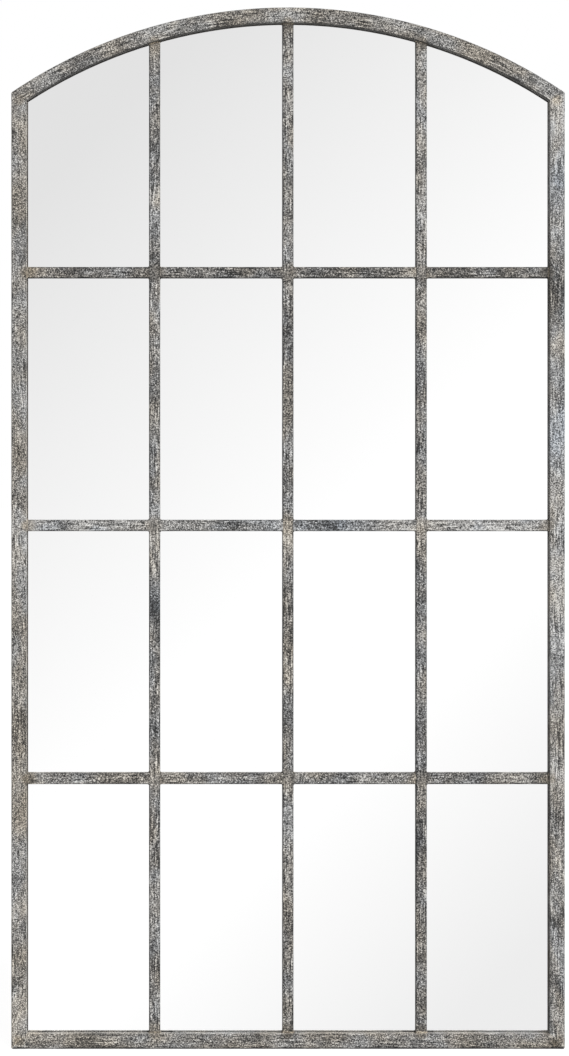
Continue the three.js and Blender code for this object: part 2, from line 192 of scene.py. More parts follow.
def makeAgedPaint():
    # milk paint dabbed and brushed over blackened steel: a grey speckle as fine as sand, dark and pale
    # strokes along each bar, crackled and beige at the welds, with black pits; the arrises are darkened partly as wear
    # and partly as painted shade, the sides darkened as painted shade, and the back darkened as a thinner coat
    material, tree = newMaterial("milkPaintBrushedOverBlackenedSteel")
    p = agedPaint
    barUv = addNode(tree, "UVMap", {"uv_map": "bar"}).outputs["UV"]
    zone = addNode(tree, "SeparateXYZ", inputs={0: addNode(tree, "Attribute", {"attribute_name": "zone"}).outputs["Vector"]})
    side, arris, joint = zone.outputs
    tone = addNode(tree, "SeparateXYZ", inputs={0: addNode(tree, "Attribute", {"attribute_name": "tone"}).outputs["Vector"]})
    lift, warmth, seed = tone.outputs
    place = addNode(tree, "TexCoord").outputs["Object"]
    inMm = addNode(tree, "VectorMath", {"operation": "SCALE"}, {0: place, "Scale": 1000.0}).outputs[0]
    uvMm = addNode(tree, "VectorMath", {"operation": "SCALE"}, {0: barUv, "Scale": 1000.0}).outputs[0]
    uvParts = addNode(tree, "SeparateXYZ", inputs={0: uvMm})
    seedMm = addNode(tree, "Math", {"operation": "MULTIPLY"}, {0: seed, 1: 371.0}).outputs[0]
    barMm = addNode(tree, "CombineXYZ", inputs={0: uvParts.outputs[0], 1: uvParts.outputs[1], 2: seedMm}).outputs[0]
    shifted = addNode(tree, "Math", {"operation": "ADD"}, {0: uvParts.outputs[0], 1: seedMm}).outputs[0]
    flatMm = addNode(tree, "CombineXYZ", inputs={0: shifted, 1: uvParts.outputs[1]}).outputs[0]

    def scaled(vector, x, y, z):
        return addNode(tree, "VectorMath", {"operation": "MULTIPLY"}, {0: vector, 1: (x, y, z)}).outputs[0]

    def maths(operation, a, b, clamp=False):
        return addNode(tree, "Math", {"operation": operation, "use_clamp": clamp}, {0: a, 1: b}).outputs[0]

    def remap(value, low, high, newLow=0.0, newHigh=1.0):
        return addNode(tree, "MapRange", {"interpolation_type": "SMOOTHSTEP"},
                       {0: value, 1: low, 2: high, 3: newLow, 4: newHigh}).outputs[0]

    def mixed(factor, a, b, blend="MIX"):
        return addNode(tree, "Mix", {"data_type": "RGBA", "blend_type": blend}, {0: factor, 6: a, 7: b}).outputs[2]

    def blended(factor, a, b):
        return addNode(tree, "Mix", {"data_type": "FLOAT"}, {0: factor, 2: a, 3: b}).outputs[0]

    def noise(vector, sizeMm, detail, roughness=0.5):
        return addNode(tree, "TexNoise", inputs={"Vector": vector, "Scale": 1 / sizeMm, "Detail": detail,
                                                 "Roughness": roughness}).outputs[0]

    # the stretch in y keeps both front faces off the noise's flat lattice planes
    grain = noise(scaled(inMm, 1, 1.1, 1), p["grainMm"], 2.0, 0.5)
    strokes = noise(scaled(barMm, 1 / p["brushLength"], 1, 1), p["brushMm"], 2.0, 0.6)
    drift = noise(scaled(barMm, 1, 0.8, 1), p["driftMm"], 3.0, 0.55)
    patch = noise(scaled(barMm, 0.8, 1.3, 2.3), 42.0, 2.0)
    hue = noise(scaled(barMm, 1, 1.6, 1.7), 70.0, 2.0)

    # strokes show most where the coat is patchy, and the welds are dabbed smooth
    strokeDepth = maths("MULTIPLY", remap(patch, 0.36, 0.66, 0.35, 1.6), maths("SUBTRACT", 1.0, maths("MULTIPLY", joint, 0.75)))
    strokeDepth = maths("MULTIPLY", strokeDepth, p["brushDepth"])
    grainDepth = maths("MULTIPLY", maths("SUBTRACT", 1.0, maths("MULTIPLY", joint, 0.3)), p["grainDepth"])
    value = maths("ADD", maths("MULTIPLY", maths("SUBTRACT", grain, 0.5), grainDepth), 0.5)
    value = maths("ADD", value, maths("MULTIPLY", maths("SUBTRACT", strokes, 0.5), strokeDepth))
    value = maths("ADD", value, maths("MULTIPLY", maths("SUBTRACT", drift, 0.5), p["driftDepth"]))
    value = maths("ADD", value, lift, True)
    colour = addNode(tree, "ValToRGB", inputs={0: value}, stops=[
        (0.0, hexColour(p["darkest"])), (0.18, hexColour(p["dark"])), (0.36, hexColour(p["low"])),
        (0.52, hexColour(p["middle"])), (0.68, hexColour(p["high"])), (0.84, hexColour(p["light"])),
        (1.0, hexColour(p["lightest"]))]).outputs[0]

    # warm and cool washes, the warm one strongest at the welds
    warmShare = maths("ADD", remap(hue, 0.48, 0.68, 0, 0.3), maths("MULTIPLY", joint, 0.45))
    warmShare = maths("ADD", warmShare, warmth, True)
    colour = mixed(warmShare, colour, mixed(1.0, colour, hexColour(p["warm"]), "OVERLAY"))
    coolShare = maths("MULTIPLY", remap(hue, 0.52, 0.36, 0, 0.35), maths("SUBTRACT", 1.0, joint))
    coolShare = maths("SUBTRACT", coolShare, maths("MINIMUM", warmth, 0.0), True)
    colour = mixed(coolShare, colour, mixed(1.0, colour, hexColour(p["cool"]), "OVERLAY"))

    # crackle near the welds, pits and scratches everywhere
    wander = addNode(tree, "TexNoise", inputs={"Vector": inMm, "Scale": 1 / 2.5, "Detail": 2.0}).outputs[1]
    wandering = addNode(tree, "VectorMath", {"operation": "MULTIPLY_ADD"}, {0: wander, 1: (2.4, 2.4, 2.4), 2: inMm}).outputs[0]
    crackle = addNode(tree, "TexVoronoi", {"feature": "DISTANCE_TO_EDGE"},
                      {"Vector": wandering, "Scale": 1 / p["crackleMm"]}).outputs["Distance"]
    crackleLine = maths("MULTIPLY", remap(crackle, 0.09, 0.01), maths("MULTIPLY", maths("ADD", joint, 0.5), 0.6), True)
    pitCells = addNode(tree, "TexVoronoi", {"voronoi_dimensions": "2D"}, {"Vector": flatMm, "Scale": 1 / p["pitMm"]})
    pitChance = addNode(tree, "SeparateXYZ", inputs={0: pitCells.outputs["Color"]}).outputs[0]
    pit = maths("MULTIPLY", remap(pitCells.outputs["Distance"], 0.10, 0.05), remap(pitChance, 0.45, 0.5))
    scratchNoise = noise(scaled(barMm, 0.09, 1.0, 1), 3.2, 2.0)
    scratch = maths("MULTIPLY", remap(scratchNoise, 0.60, 0.69, 0, 0.8), remap(patch, 0.42, 0.6, 0.15, 1.0))
    dark = maths("MAXIMUM", maths("MAXIMUM", crackleLine, pit), scratch)
    # arrises darkened partly as rubbed wear and partly as painted shade: the edges facing down or left, away from the
    # key lamp, are weighted darker
    arrisWearAndShade = maths("MULTIPLY", arris, remap(strokes, 0.62, 0.45, 0.6, 1.0))
    colour = mixed(maths("MAXIMUM", dark, arrisWearAndShade), colour, hexColour(p["darkest"]))
    # the sides darkened as painted shade by a per-bar amount, and the back darkened as a thinner coat over the steel
    colour = mixed(maths("MULTIPLY", side, 0.85), colour, hexColour(p["sides"]))

    bump = addNode(tree, "Bump", inputs={"Height": value, "Strength": 0.5, "Distance": 0.12 * mm})
    pitBump = addNode(tree, "Bump", {"invert": True}, {"Height": dark, "Strength": 0.7, "Distance": 0.25 * mm, "Normal": bump.outputs[0]})
    rough = blended(maths("MAXIMUM", dark, side), 0.78, 0.55)
    shader = addNode(tree, "BsdfPrincipled", inputs={"Base Color": colour, "Roughness": rough,
                                                    "Specular IOR Level": 0.35, "Normal": pitBump.outputs[0]})
    finishMaterial(tree, shader.outputs[0])
    return material


silveredGlass = {"silver": "#fdfdfd", "edge": "#5f7a72", "backPaint": "#6b6763", "roughness": 0.012}


def makeSilveredGlass():
    # float glass with a silvered back: a clean reflection, green only in its cut edges
    material, tree = newMaterial("silveredFloatGlass")
    normal = addNode(tree, "SeparateXYZ", inputs={0: addNode(tree, "TexCoord").outputs["Normal"]}).outputs[1]
    towardsViewer = addNode(tree, "Math", {"operation": "LESS_THAN"}, {0: normal, 1: -0.5}).outputs[0]
    backwards = addNode(tree, "Math", {"operation": "GREATER_THAN"}, {0: normal, 1: 0.5}).outputs[0]
    silver = addNode(tree, "BsdfPrincipled", inputs={"Base Color": hexColour(silveredGlass["silver"]), "Metallic": 1.0,
                                                     "Roughness": silveredGlass["roughness"]})
    cut = addNode(tree, "Mix", {"data_type": "RGBA"}, {0: backwards, 6: hexColour(silveredGlass["edge"]),
                                                     7: hexColour(silveredGlass["backPaint"])}).outputs[2]
    rest = addNode(tree, "BsdfPrincipled", inputs={"Base Color": cut, "Roughness": 0.35})
    surface = addNode(tree, "MixShader", inputs={0: towardsViewer, 1: rest.outputs[0], 2: silver.outputs[0]})
    finishMaterial(tree, surface.outputs[0])
    return material


hardboard = {"base": "#6a523d", "dark": "#553f2e", "light": "#826850", "screenMm": 3.0}


def makeHardboard():
    # tempered hardboard, screen side out: brown felted fibre with the print of the press screen
    material, tree = newMaterial("temperedHardboardScreenSide")
    place = addNode(tree, "TexCoord").outputs["Object"]
    inMm = addNode(tree, "VectorMath", {"operation": "SCALE"}, {0: place, "Scale": 1000.0}).outputs[0]
    fibre = addNode(tree, "TexNoise", inputs={"Vector": inMm, "Scale": 1 / 3.5, "Detail": 4.0, "Roughness": 0.7}).outputs[0]
    cloud = addNode(tree, "TexNoise", inputs={"Vector": inMm, "Scale": 1 / 160.0, "Detail": 3.0}).outputs[0]
    both = addNode(tree, "Math", {"operation": "MULTIPLY_ADD"}, {0: cloud, 1: 0.25, 2: -0.125}).outputs[0]
    both = addNode(tree, "Math", {"operation": "ADD"}, {0: both, 1: fibre}).outputs[0]
    colour = addNode(tree, "ValToRGB", inputs={0: both}, stops=[
        (0.3, hexColour(hardboard["dark"])), (0.5, hexColour(hardboard["base"])), (0.72, hexColour(hardboard["light"]))]).outputs[0]
    parts = addNode(tree, "SeparateXYZ", inputs={0: inMm})
    waves = []
    for axis in (0, 2):
        turned = addNode(tree, "Math", {"operation": "MULTIPLY"}, {0: parts.outputs[axis], 1: 2 * math.pi / hardboard["screenMm"]}).outputs[0]
        waves.append(addNode(tree, "Math", {"operation": "SINE"}, {0: turned}).outputs[0])
    screen = addNode(tree, "Math", {"operation": "MULTIPLY"}, {0: waves[0], 1: waves[1]}).outputs[0]
    height = addNode(tree, "Math", {"operation": "MULTIPLY_ADD"}, {0: screen, 1: 0.35, 2: fibre}).outputs[0]
    bump = addNode(tree, "Bump", inputs={"Height": height, "Strength": 0.6, "Distance": 0.2 * mm})
    shader = addNode(tree, "BsdfPrincipled", inputs={"Base Color": colour, "Roughness": 0.85, "Normal": bump.outputs[0]})
    finishMaterial(tree, shader.outputs[0])
    return material


zincPlate = {"bright": "#c9cac6", "dull": "#8f9290", "yellowed": "#bdb59a"}


def makeZincPlate():
    # pressed steel, zinc plated: a satin grey with cloudy passivation and a faint straw cast
    material, tree = newMaterial("zincPlatedPressedSteel")
    place = addNode(tree, "TexCoord").outputs["Object"]
    cloud = addNode(tree, "TexNoise", inputs={"Vector": place, "Scale": 180.0, "Detail": 3.0, "Roughness": 0.6}).outputs[0]
    cast = addNode(tree, "TexNoise", inputs={"Vector": place, "Scale": 45.0, "Detail": 2.0}).outputs[0]
    colour = addNode(tree, "ValToRGB", inputs={0: cloud}, stops=[
        (0.3, hexColour(zincPlate["dull"])), (0.65, hexColour(zincPlate["bright"]))]).outputs[0]
    share = addNode(tree, "MapRange", inputs={0: cast, 1: 0.45, 2: 0.75, 3: 0.0, 4: 0.6}).outputs[0]
    colour = addNode(tree, "Mix", {"data_type": "RGBA"}, {0: share, 6: colour, 7: hexColour(zincPlate["yellowed"])}).outputs[2]
    rough = addNode(tree, "MapRange", inputs={0: cloud, 1: 0.3, 2: 0.7, 3: 0.42, 4: 0.28}).outputs[0]
    fine = addNode(tree, "TexNoise", inputs={"Vector": place, "Scale": 900.0, "Detail": 2.0}).outputs[0]
    bump = addNode(tree, "Bump", inputs={"Height": fine, "Strength": 0.25, "Distance": 0.05 * mm})
    shader = addNode(tree, "BsdfPrincipled", inputs={"Base Color": colour, "Metallic": 1.0, "Roughness": rough, "Normal": bump.outputs[0]})
    finishMaterial(tree, shader.outputs[0])
    return material


blackRubber = {"base": "#242322", "bloom": "#3a3938"}


def makeBlackRubber():
    # moulded black rubber: matt, with a dusty grey bloom
    material, tree = newMaterial("mouldedBlackRubber")
    place = addNode(tree, "TexCoord").outputs["Object"]
    dust = addNode(tree, "TexNoise", inputs={"Vector": place, "Scale": 250.0, "Detail": 4.0, "Roughness": 0.6}).outputs[0]
    colour = addNode(tree, "ValToRGB", inputs={0: dust}, stops=[
        (0.45, hexColour(blackRubber["base"])), (0.75, hexColour(blackRubber["bloom"]))]).outputs[0]
    bump = addNode(tree, "Bump", inputs={"Height": dust, "Strength": 0.3, "Distance": 0.08 * mm})
    shader = addNode(tree, "BsdfPrincipled", inputs={"Base Color": colour, "Roughness": 0.7, "Normal": bump.outputs[0]})
    finishMaterial(tree, shader.outputs[0])
    return material


paint = makeAgedPaint()
glass = makeSilveredGlass()
board = makeHardboard()
zinc = makeZincPlate()
rubber = makeBlackRubber()
print("finishes made")


def barSection(width, front, back, frontRadius, backRadius, spacing):
    # rounded rectangle with its x as the inset from the bar's outer edge, walked once round:
    # quarter circles of their own radius at the four corners, with straight runs cut to the spacing
    corners = [(width - backRadius, back - backRadius, backRadius, 0), (backRadius, back - backRadius, backRadius, 1),
               (frontRadius, front + frontRadius, frontRadius, 2), (width - frontRadius, front + frontRadius, frontRadius, 3)]
    points, normals = [], []
    for i, (x, y, r, quarter) in enumerate(corners):
        turn = np.linspace(quarter, quarter + 1, 6) * np.pi / 2
        normal = np.stack([np.cos(turn), np.sin(turn)], 1)
        arc = np.array([x, y]) + r * normal
        points.append(arc)
        normals.append(normal)
        nx, ny, nr, nq = corners[(i + 1) % 4]
        begin = np.array([nx, ny]) + nr * normal[-1]
        count = max(1, round(np.linalg.norm(begin - arc[-1]) / spacing))
        share = np.arange(1, count)[:, None] / count
        points.append(arc[-1] + (begin - arc[-1]) * share)
        normals.append(np.repeat(normal[-1:], count - 1, 0))
    points, normals = np.concatenate(points), np.concatenate(normals)
    step = np.linalg.norm(np.roll(points, -1, 0) - points, axis=1)
    return points, normals, np.concatenate([[0], np.cumsum(step)])


def spacedAlong(length, step, fineStep, fineReach):
    # stations along a bar, closer together near both ends
    fine = np.arange(0, fineReach, fineStep)
    middle = np.linspace(fineReach, length - fineReach, max(2, round((length - 2 * fineReach) / step)))
    return np.concatenate([fine, middle, length - fine[::-1]]) / length


wear = {
    "wave": 0.45 * mm, "waveCell": 70 * mm,      # slow wander of the arrises
    "dimple": 0.10 * mm, "dimpleCell": 9 * mm,   # uneven paint on the flats
    "chip": 0.55 * mm, "chipCell": 5.5 * mm,     # knocks along the arrises
    "backDark": 0.55,                            # how much steel shows through at the back
}


def wornInwards(points, normal3, arrisShare, endShare, seed):
    # every move is inwards: a slow wave, fine dimples, and chips where the noise peaks on an arris
    wave = 0.5 + 0.5 * latticeNoise(points, wear["waveCell"], seed)
    dimple = 0.5 + 0.5 * latticeNoise(points, wear["dimpleCell"], seed + 1)
    chip = np.clip(latticeNoise(points, wear["chipCell"], seed + 2) - 0.2, 0, 1) / 0.8
    depth = (wear["wave"] * wave + wear["dimple"] * dimple + wear["chip"] * chip * arrisShare) * endShare
    return points - normal3 * depth[..., None]


def sweepBar(name, section, place, stations, joints, tone, patches, seed, arrisSides, jointReach,
             arrisReach=2.3 * mm):
    # the section is carried along the bar: place(inset, share) gives x and z of the line that each
    # section point follows, so mitred and coped ends come from where those lines end
    points, normals, around = section
    inset, y = points[:, 0], points[:, 1]
    share = np.asarray(stations)[:, None]
    x, z, outX, outZ = place(inset[None, :], share)
    rows, columns = x.shape
    position = np.stack([x, np.broadcast_to(y, x.shape), z], -1)
    # inset grows towards the inside, so its own direction is minus the outward one
    normal3 = np.stack([-outX * normals[:, 0], np.broadcast_to(normals[:, 1], x.shape), -outZ * normals[:, 0]], -1)
    width = inset.max()
    low, high = np.minimum(inset, width - inset), normals[:, 1]
    frontness = smoothStep(0.2, 0.75, -high)
    # arris darkening weighted per edge by arrisSides: partly wear, partly painted shade on edges turned away from the
    # key lamp
    arrisOuter = (1 - smoothStep(0.4 * arrisReach, arrisReach, inset)) * arrisSides[0]
    arrisInner = (1 - smoothStep(0.4 * arrisReach, arrisReach, width - inset)) * arrisSides[1]
    arris = np.clip(arrisOuter + arrisInner, 0, 1) * (high < 0.1) * smoothStep(-0.02, -0.3, high)
    length = np.linalg.norm(np.diff(position[:, 0], axis=0), axis=1).sum()
    toEnd = np.minimum(share, 1 - share) * length
    endShare = smoothStep(1 * mm, 30 * mm, toEnd)
    turnedFront = smoothStep(0.15, -0.3, high)[None, :]   # nothing moves at the back, where parts seat
    worn = wornInwards(position, normal3, (np.exp(-(low / (2 * mm)) ** 2) * (high < 0.3))[None, :], endShare * turnedFront, seed)
    joint = np.zeros(x.shape)
    for jointX, jointZ, strength in joints:
        away = np.hypot(x - jointX, z - jointZ)
        joint = np.maximum(joint, strength * (1 - smoothStep(jointReach * 0.35, jointReach, away)))
    backness = smoothStep(0.2, 0.75, high)   # the back is a thinner coat, the same on every bar
    sideness = (1 - frontness) * (1 - backness)
    # the sides take the bar's painted shade, the back its thinner coat
    side = np.broadcast_to(sideness * max(tone[2], 0.0) + backness * wear["backDark"], x.shape)
    zone = np.stack([side, np.broadcast_to(arris[None, :], x.shape), joint], -1).reshape(-1, 3)
    vertices = worn.reshape(-1, 3)
    faces = gridFaces(rows, columns, True)
    capStart = len(faces)
    ends = np.stack([worn[0].mean(0), worn[-1].mean(0)])
    first, last = len(vertices), len(vertices) + 1
    nextOne = (np.arange(columns) + 1) % columns
    faces += [(first, int(b), int(a)) for a, b in zip(range(columns), nextOne)]
    base = (rows - 1) * columns
    faces += [(last, base + a, base + int(b)) for a, b in zip(range(columns), nextOne)]
    along = np.asarray(stations) * length
    quadUv = [((along[r], around[c]), (along[r], around[c + 1]), (along[r + 1], around[c + 1]), (along[r + 1], around[c]))
              for r in range(rows - 1) for c in range(columns)]
    capUv = [((along[k], 0.0), (along[k], 0.01), (along[k], 0.02)) for k in (0, -1) for _ in range(columns)]
    count = len(vertices) + 2
    zone = np.concatenate([zone, [[0.5, 0, 0.5]] * 2])
    allVertices = np.concatenate([vertices, ends])
    toneRows = np.tile([tone[0], tone[1], (seed * 0.37) % 1.0], (count, 1))
    # sides made paler as painted light on bars whose third tone value is below zero
    toneRows[:rows * columns, 0] += np.tile(sideness * max(-tone[2], 0.0), rows)
    alongBar = allVertices[:, 2] if np.ptp(allVertices[:, 2]) > np.ptp(allVertices[:, 0]) else allVertices[:, 0]
    for centre, reach, *shift in patches:
        share = np.exp(-((alongBar - centre * mm) / (reach * mm)) ** 2)
        toneRows[:, :len(shift)] += share[:, None] * shift
    return makePiece(name, allVertices, faces, paint, "mirror",
                     flatFrom=capStart, uv=quadUv + capUv, attributes={"zone": zone, "tone": toneRows})


def roundedCorner(x, z, inset, centreX, centreZ, radius, low, high):
    # inside the corner's sector a line is drawn onto the circle of (radius - inset) about the centre
    dx, dz = x - centreX, z - centreZ
    angle = np.arctan2(dz, dx)
    distance = np.hypot(dx, dz)
    inside = (inset < radius) & (angle >= low) & (angle <= high) & (distance > 0)
    pull = np.where(inside, (radius - inset) / np.where(distance > 0, distance, 1), 1)
    return centreX + dx * pull, centreZ + dz * pull


def roundAllCorners(x, z, inset):
    # both feet and both shoulders, worked on the right-hand side and mirrored
    sign = np.where(x < 0, -1.0, 1.0)
    r = mirrorShape["footRadius"]
    ax, az = roundedCorner(np.abs(x), z, inset, halfWidth - r, bottomZ + r, r, -np.pi / 2, 0)
    r = mirrorShape["shoulderRadius"]
    cx = halfWidth - r
    cz = math.sqrt((archRadius - r) ** 2 - cx ** 2)
    ax, az = roundedCorner(ax, az, inset, cx, archCentreZ + cz, r, 0, math.atan2(cz, cx))
    return ax * sign, az


def stilePlace(side):
    def place(inset, share):
        low = bottomZ + inset
        high = archCentreZ + np.sqrt((archRadius - inset) ** 2 - (halfWidth - inset) ** 2)
        z = low + (high - low) * share
        x = side * (halfWidth - inset) + 0 * share
        x, z = roundAllCorners(x, z, inset)
        return x, z, np.full_like(x, side), np.zeros_like(x)
    return place


def railPlace(inset, share):
    x = (halfWidth - inset) * (2 * share - 1)
    z = bottomZ + inset + 0 * share
    x, z = roundAllCorners(x, z, inset)
    return x, z, np.zeros_like(x), np.full_like(x, -1)


def archPlace(inset, share):
    radius = archRadius - inset
    reach = np.arcsin((halfWidth - inset) / radius)
    angle = reach * (2 * share - 1)
    x, z = radius * np.sin(angle), archCentreZ + radius * np.cos(angle)
    x, z = roundAllCorners(x, z, inset)
    return x, z, np.sin(angle), np.cos(angle)


uprightX = [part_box(f"upright_{i}")[0].x / 2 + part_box(f"upright_{i}")[1].x / 2 for i in (1, 2, 3)]
crossbarZ = [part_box(f"crossbar_{i}_1")[0].z / 2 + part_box(f"crossbar_{i}_1")[1].z / 2 for i in (1, 2, 3)]
barLow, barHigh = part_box("crossbar_1_2")
barWidth = barHigh.z - barLow.z
openingHalf, openingBottom, openingRadius = halfWidth - tubeWidth, bottomZ + tubeWidth, archRadius - tubeWidth
# where bars are welded: x, z and how strongly the place was dabbed over
crossings = [(x, z, 0.55) for x in uprightX for z in crossbarZ]
frameJoints = [(x, openingBottom, 0.8) for x in uprightX]
frameJoints += [(x, archCentreZ + math.sqrt(openingRadius ** 2 - x * x), 0.8) for x in uprightX]
frameJoints += [(s * openingHalf, z, (1.0, 0.7)[s > 0]) for s in (-1, 1) for z in crossbarZ]
shoulderZ = archCentreZ + math.sqrt(archRadius ** 2 - halfWidth ** 2)
mitres = [(s * (halfWidth - tubeWidth / 2), z, 0.8) for s in (-1, 1) for z in (bottomZ + tubeWidth / 2, shoulderZ - tubeWidth / 2)]

# lift, warmth and side shade of each bar: lift and warmth as the finisher's hand varied; the last value darkens
# the bar's sides as painted shade, heaviest where they face away from the key lamp, and below zero makes them paler as
# painted light
barToneAndSideShade = {
    "left_stile": (0.0, 0.10, -0.2), "right_stile": (0.03, 0.0, 0.35), "bottom_rail": (-0.09, 0.1, -0.2),
    "arch_rail": (-0.06, 0.15, 0.85), "upright_1": (-0.05, 0.0, 0.45), "upright_2": (-0.07, 0.03, 0.45),
    "upright_3": (-0.05, 0.0, 0.6), "row_1": (-0.04, 0.02, 0.0), "row_2": (0.06, -0.15, 0.2), "row_3": (-0.15, 0.05, 0.8),
}
# places rubbed dark or left pale: height or x along the bar in mm, reach in mm, lift, and for some
# a warmth that is below zero where the place is bluish
barPatches = {
    "left_stile": [(690, 40, -0.10), (571, 25, 0.09), (460, 60, -0.06), (385, 30, -0.10), (200, 25, -0.07),
                   (-40, 60, 0.12), (-405, 45, -0.12), (-494, 30, 0.10), (-500, 90, 0.0, 0.25),
                   (-620, 50, 0.10), (-840, 60, 0.0, 0.3)],
    "right_stile": [(790, 60, 0.20), (660, 50, 0.02, -0.5), (470, 75, -0.26), (0, 190, 0.14), (180, 60, 0.14, -0.65),
                    (-30, 30, 0.12), (-230, 45, 0.12), (-600, 120, -0.07), (-760, 60, -0.16)],
    "bottom_rail": [(-500, 25, 0.12, 0.35), (-455, 30, -0.06), (-224, 30, -0.09), (517, 25, -0.05, 0.2)],
    "arch_rail": [(-500, 30, 0.11), (-67, 40, -0.04), (134, 40, -0.13), (329, 38, 0.11), (505, 30, 0.11)],
    "upright_1": [(898, 25, -0.13), (672, 44, 0.27), (390, 50, -0.07), (300, 30, -0.09), (20, 45, 0.12),
                  (-140, 35, -0.04, -0.6), (-170, 32, -0.22), (-443, 30, -0.17)],
    "upright_2": [(770, 45, 0.16), (705, 50, 0.10), (510, 90, -0.13), (420, 120, -0.05), (-20, 35, 0.17),
                  (-116, 22, -0.15), (-250, 60, 0.0, 0.35), (-370, 35, -0.14)],
    "upright_3": [(880, 50, 0.07), (800, 120, 0.15), (645, 50, 0.11), (390, 25, -0.11), (0, 40, 0.18),
                  (-73, 20, 0.09), (-630, 40, -0.18)],
    "row_1": [(-485, 25, 0.20, 0.2), (195, 35, -0.13)],
    "row_2": [(-490, 14, 0.05), (-440, 25, -0.12), (-380, 45, 0.18), (-105, 30, -0.16), (85, 28, -0.20),
              (100, 60, 0.0, -0.5), (220, 30, 0.16), (370, 120, 0.10), (450, 30, 0.07)],
    "row_3": [(-500, 17, 0.24, 0.2), (-420, 40, -0.16), (58, 60, -0.16), (190, 30, -0.04), (250, 30, 0.14)],
}

frameSection = barSection(tubeWidth, mirrorShape["front"], mirrorShape["back"], 2.0 * mm, 2.5 * mm, 2.6 * mm)
stileLength = archCentreZ + math.sqrt(archRadius ** 2 - halfWidth ** 2) - bottomZ
archLength = 2 * archRadius * math.asin(halfWidth / archRadius)
# the arris weights give each bar's outer and inner edge darkness: partly wear, partly painted shade, heaviest on edges
# facing down or left; the bottom rail's wide dark lower edge is painted shade
frameBars = [
    ("left_stile", stilePlace(-1), stileLength, (0.55, 0.5), 11, 2.3 * mm),
    ("right_stile", stilePlace(1), stileLength, (0.35, 0.6), 23, 2.3 * mm),
    ("bottom_rail", railPlace, 2 * halfWidth, (1.0, 0.0), 37, 5.4 * mm),
    ("arch_rail", archPlace, archLength, (0.35, 0.7), 53, 2.6 * mm),
]
for name, place, length, arrisSides, seed, arrisReach in frameBars:
    stations = spacedAlong(length, 3.2 * mm, 0.8 * mm, 8 * mm)
    bar = sweepBar(name + "_bar", frameSection, place, stations, frameJoints + mitres, barToneAndSideShade[name], barPatches.get(name, []),
                   seed, arrisSides, 15 * mm, arrisReach)
    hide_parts(name)
print("frame bars made")

grille = {"frontRadius": 1.4 * mm, "backRadius": 0.6 * mm, "reachIn": 1.2 * mm}
grilleSection = barSection(barWidth, barLow.y, barHigh.y, grille["frontRadius"], grille["backRadius"], 2.2 * mm)


def uprightPlace(centre):
    def place(inset, share):
        x = centre - barWidth / 2 + inset
        low = openingBottom - 0.4 * mm
        high = archCentreZ + np.sqrt(openingRadius ** 2 - x ** 2) + 0.4 * mm
        z = low + (high - low) * share
        x = x + 0 * share
        return x, z, np.full_like(x, -1), np.zeros_like(x)
    return place


def crossbarPlace(left, right, centre):
    def place(inset, share):
        z = centre - barWidth / 2 + inset + 0 * share
        x = left + (right - left) * share + 0 * inset
        return x, z, np.zeros_like(x), np.full_like(x, -1)
    return place


for i, x in enumerate(uprightX, 1):
    length = archCentreZ + math.sqrt(openingRadius ** 2 - x * x) - openingBottom
    stations = spacedAlong(length, 3.0 * mm, 1.0 * mm, 4 * mm)
    # left arris darker than right: painted shade as well as wear
    bar = sweepBar(f"upright_{i}_bar", grilleSection, uprightPlace(x), stations, crossings + frameJoints, barToneAndSideShade[f"upright_{i}"],
                   barPatches[f"upright_{i}"], 60 + 7 * i, (0.9, 0.5), 26 * mm)
    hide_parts(f"upright_{i}")
paneEdges = [-openingHalf] + [x + s * barWidth / 2 for x in uprightX for s in (-1, 1)] + [openingHalf]
for row, z in enumerate(crossbarZ, 1):
    for column in range(1, 5):
        left, right = paneEdges[2 * column - 2] - grille["reachIn"], paneEdges[2 * column - 1] + grille["reachIn"]
        stations = spacedAlong(right - left, 3.0 * mm, 1.0 * mm, 4 * mm)
        # lower arris darker than upper, darkest on the lowest row: painted shade as well as wear
        bar = sweepBar(f"crossbar_{row}_{column}_bar", grilleSection, crossbarPlace(left, right, z), stations, crossings + frameJoints,
                       barToneAndSideShade[f"row_{row}"], barPatches.get(f"row_{row}", []), 100 + 13 * row + 3 * column,
                       (1.0 if row == 3 else 0.75, 0.5), 26 * mm)
        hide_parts(f"crossbar_{row}_{column}")
print("grille bars made")


weld = {"foot": 2.3 * mm, "head": 2.0 * mm, "stile": 1.9 * mm, "corner": 1.5 * mm, "ripple": 2.4 * mm, "sides": 12}


